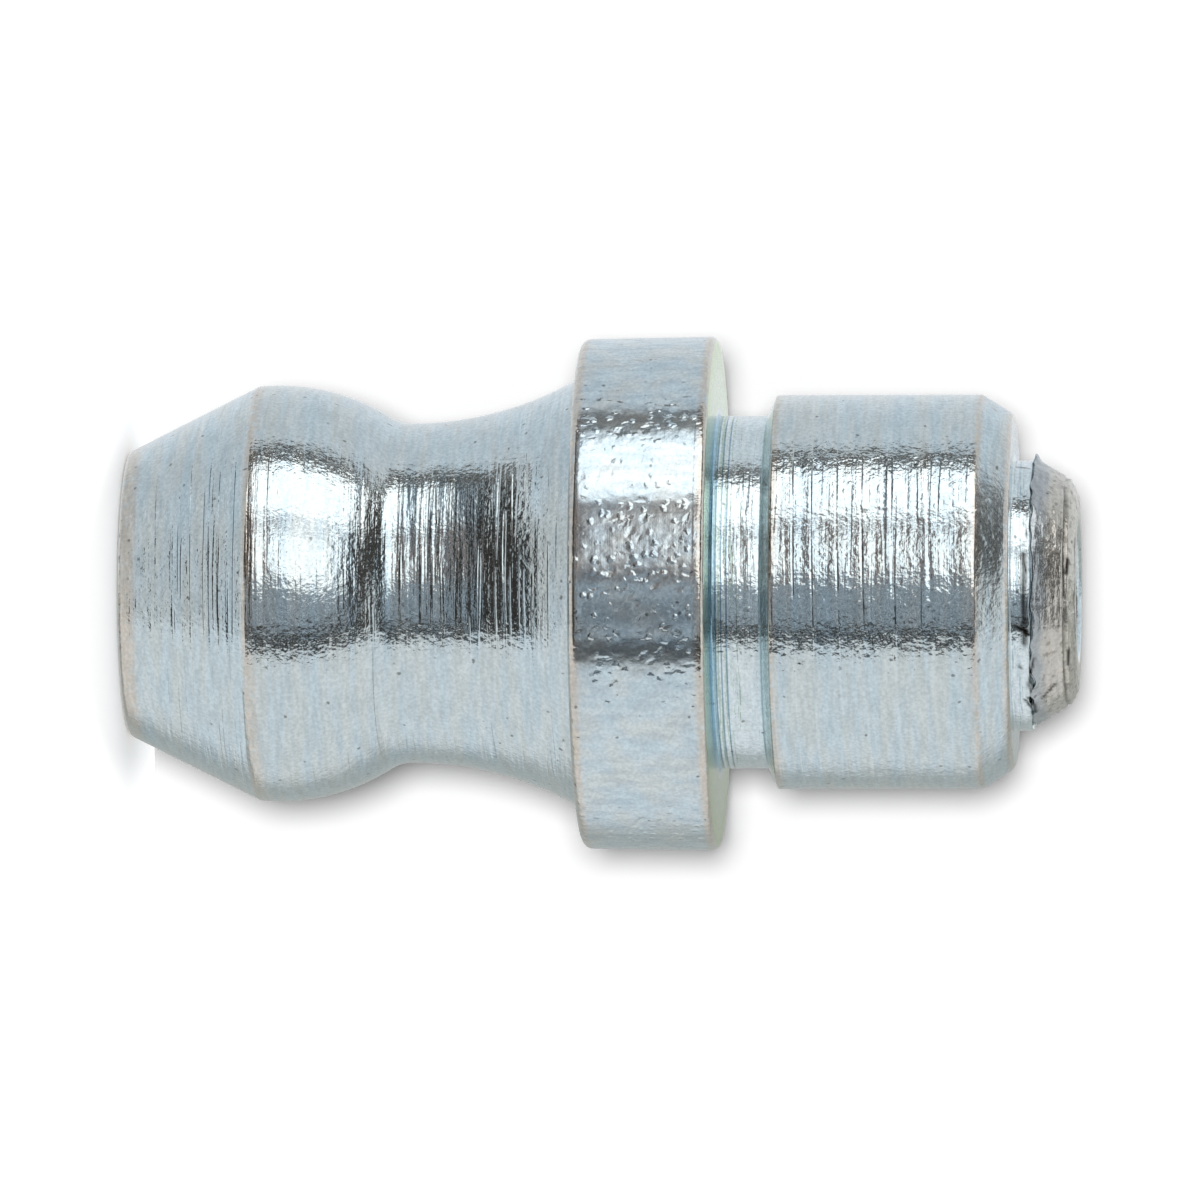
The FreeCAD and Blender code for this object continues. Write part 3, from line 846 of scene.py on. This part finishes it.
# cracks and gouges in the nub and the lip, each with its half width, drawn dark as painted shade inside them
slits = [
    ([(0.53, 14.10), (0.71, 14.01), (0.83, 14.06), (0.875, 13.95), (1.01, 14.07), (1.15, 14.09)], 0.040),
    ([(-0.31, 13.95), (-0.18, 13.97), (0.04, 13.95), (0.22, 13.97), (0.36, 13.96)], 0.085),
    ([(0.98, 14.20), (0.88, 14.40)], 0.045), ([(0.72, 14.60), (0.55, 14.62)], 0.04),
    ([(-0.30, 14.62), (-0.16, 14.60)], 0.045), ([(0.22, 13.82), (0.29, 14.03)], 0.055),
    ([(0.545, 13.87), (0.565, 13.88)], 0.045), ([(-1.25, 13.80), (-1.22, 13.98)], 0.04),
    ([(-0.66, 13.99), (-0.56, 13.96), (-0.47, 13.99), (-0.38, 13.96)], 0.035),
]
crack_shade = sum(slit_share(*line) for line in slits)
# the black line along the rolled rim, and the crevice before it, both broken: painted shade in the fold and the
# crevice
line_width = 0.030
black_line = bell(along - along_of("lip_round", 0.80) - ragged((3, 26), 0.035), 0, line_width)
black_line = black_line * window(turned, -0.55, 0.50, 0.2) * ramp(ragged((6, 40), 1.0), -0.8, -0.1)
crevice = bell(along - along_of("lip_round", 0.22) - ragged((2, 20), 0.02), 0, line_width)
crevice = 0.60 * crevice * ramp(ragged((4, 30), 1.0), -0.7, 0.1)
crack_shade = crack_shade + (black_line + crevice) * outside[:, None]
lip_length = along_of("lip_top", 1.0) - along_of("lip_edge")
lip_way = along - along_of("lip_edge") + ragged((2, 30), 0.05) + 0.09 * window(turned, 0.25, 1.3, 0.6)
give_rows("lip_way", lip_way / lip_length)
by_face = window(row_along, along_of("front_cone") - 0.04, along_of("front_cone") + 0.09, 0.06)
give_rows("nicked", by_face[:, None] * (0.25 + 0.75 * window(turned, -0.7, 0.4, 0.3)))
give_rows("crack_shade", np.clip(crack_shade, 0, 1))
turned_vector = np.stack(
    np.broadcast_arrays(np.sin(turned), -np.cos(turned), along), axis=-1
).astype(np.float32)
body.data.attributes.new("turned", "FLOAT_VECTOR", "POINT").data.foreach_set("vector", turned_vector.reshape(-1))
turn_ends = np.arange(body_columns + 1) / body_columns
along_ends = np.append(row_along, outline_length) / outline_length
quad_turn = np.stack([turn_ends[:-1], turn_ends[1:], turn_ends[1:], turn_ends[:-1]], axis=1)[None]
quad_along = np.stack([along_ends[:-1], along_ends[:-1], along_ends[1:], along_ends[1:]], axis=1)[:, None]
quad_places = np.stack(np.broadcast_arrays(quad_turn, quad_along), axis=-1).astype(np.float32)
body.data.uv_layers.new(name="turned_uv").uv.foreach_set("vector", quad_places.reshape(-1))
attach(body, "nipple")
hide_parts("nipple_body")

# ---------------------------------------------------------------------------------------------------------
# The valve ball: a hardened steel bearing ball, lapped to a mirror. It shuts the inlet in the head's face
# and lifts off its conical seat when grease comes in.
# ---------------------------------------------------------------------------------------------------------
ball_r, ball_z = 1.25, 1.35
ball_rows, ball_columns = 60, 96

lapped, tree = new_material("lapped_bearing_steel")
film = add(tree, "TexNoise", {"Vector": place_in_mm(tree), "Scale": 1.6, "Detail": 3.0}).outputs["Fac"]
film = add(tree, "MapRange", {"Value": film, "From Min": 0.3, "From Max": 0.7, "To Min": 0.05, "To Max": 0.12})
polish = add(
    tree, "BsdfPrincipled", {"Base Color": hex_colour("#c4c4c2"), "Metallic": 1.0, "Roughness": film.outputs[0]}
)
add(tree, "OutputMaterial", {"Surface": polish.outputs[0]})

ball_rise = (np.arange(1, ball_rows) / ball_rows - 0.5)[:, None] * np.pi
ball_turn = np.arange(ball_columns)[None, :] / ball_columns * 2 * np.pi
ball_points = np.stack(
    np.broadcast_arrays(
        ball_r * np.cos(ball_rise) * np.cos(ball_turn),
        ball_r * np.cos(ball_rise) * np.sin(ball_turn),
        ball_z + ball_r * np.sin(ball_rise),
    ),
    axis=-1,
).reshape(-1, 3)
ball_points = np.concatenate([ball_points, [[0, 0, ball_z - ball_r], [0, 0, ball_z + ball_r]]])
ball_ring = np.arange(ball_columns)
ball_fans = [
    (len(ball_points) - 2, ball_ring[::-1]),
    (len(ball_points) - 1, ball_ring + (ball_rows - 2) * ball_columns),
]
ball = make_piece(
    "valve_ball", ball_points, skin(ball_rows - 1, ball_columns, False, True), ball_fans, material=lapped
)
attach(ball, "ball")
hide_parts("check_ball")

# ---------------------------------------------------------------------------------------------------------
# The valve spring: patented and drawn spring wire, coiled with closed ends. It presses the ball on its seat
# and bears on the rolled-in lip, where its last coil shows through the opening.
# ---------------------------------------------------------------------------------------------------------
wire_r, coil_r = 0.15, 1.15
coil_start_z, coil_end_z = 2.18301, 13.91457
closed_turns, closed_pitch, open_turns = 0.75, 0.34, 7.0
wire_steps, wire_sides = 640, 14

drawn, tree = new_material("drawn_spring_steel")
skin_noise = add(tree, "TexNoise", {"Vector": place_in_mm(tree), "Scale": 5.0, "Detail": 3.0}).outputs["Fac"]
skin_height = add(tree, "Bump", {"Height": skin_noise, "Strength": 0.4, "Distance": 0.004 * MM}).outputs[0]
wire_finish = add(
    tree,
    "BsdfPrincipled",
    {"Base Color": hex_colour("#a7a9a8"), "Metallic": 1.0, "Roughness": 0.28, "Normal": skin_height},
)
add(tree, "OutputMaterial", {"Surface": wire_finish.outputs[0]})

wire_turns = np.linspace(0, 2 * closed_turns + open_turns, wire_steps)
open_pitch = (coil_end_z - coil_start_z - 2 * closed_turns * closed_pitch) / open_turns
turn_marks = np.array([0, closed_turns, closed_turns + open_turns, 2 * closed_turns + open_turns])
height_marks = coil_start_z + np.array([0, 1, 1, 2]) * closed_turns * closed_pitch
height_marks = height_marks + np.array([0, 0, 1, 1]) * open_turns * open_pitch
wire_z = np.interp(wire_turns, turn_marks, height_marks)
wire_angle = wire_turns * 2 * np.pi
outward = np.stack([np.cos(wire_angle), np.sin(wire_angle), 0 * wire_angle], axis=1)
upward = np.array([0.0, 0.0, 1.0])
wire_middle = outward * coil_r + upward * wire_z[:, None]
section = np.arange(wire_sides) / wire_sides * 2 * np.pi
wire_points = wire_middle[:, None, :] + wire_r * (
    outward[:, None, :] * np.cos(section)[None, :, None] + upward * np.sin(section)[None, :, None]
)
wire_points = np.concatenate([wire_points.reshape(-1, 3), wire_middle[:1], wire_middle[-1:]])
wire_ring = np.arange(wire_sides)
wire_fans = [
    (len(wire_points) - 2, wire_ring),
    (len(wire_points) - 1, wire_ring[::-1] + (wire_steps - 1) * wire_sides),
]
spring = make_piece(
    "valve_spring", wire_points, skin(wire_steps, wire_sides, False, True), wire_fans, material=drawn
)
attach(spring, "nipple")
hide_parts("ball_spring")
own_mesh(spring)

# ---------------------------------------------------------------------------------------------------------
# The box round the dressed part, without the hidden CAD pieces, the floor, the paper and the tent, and the end.
# ---------------------------------------------------------------------------------------------------------
low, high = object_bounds()
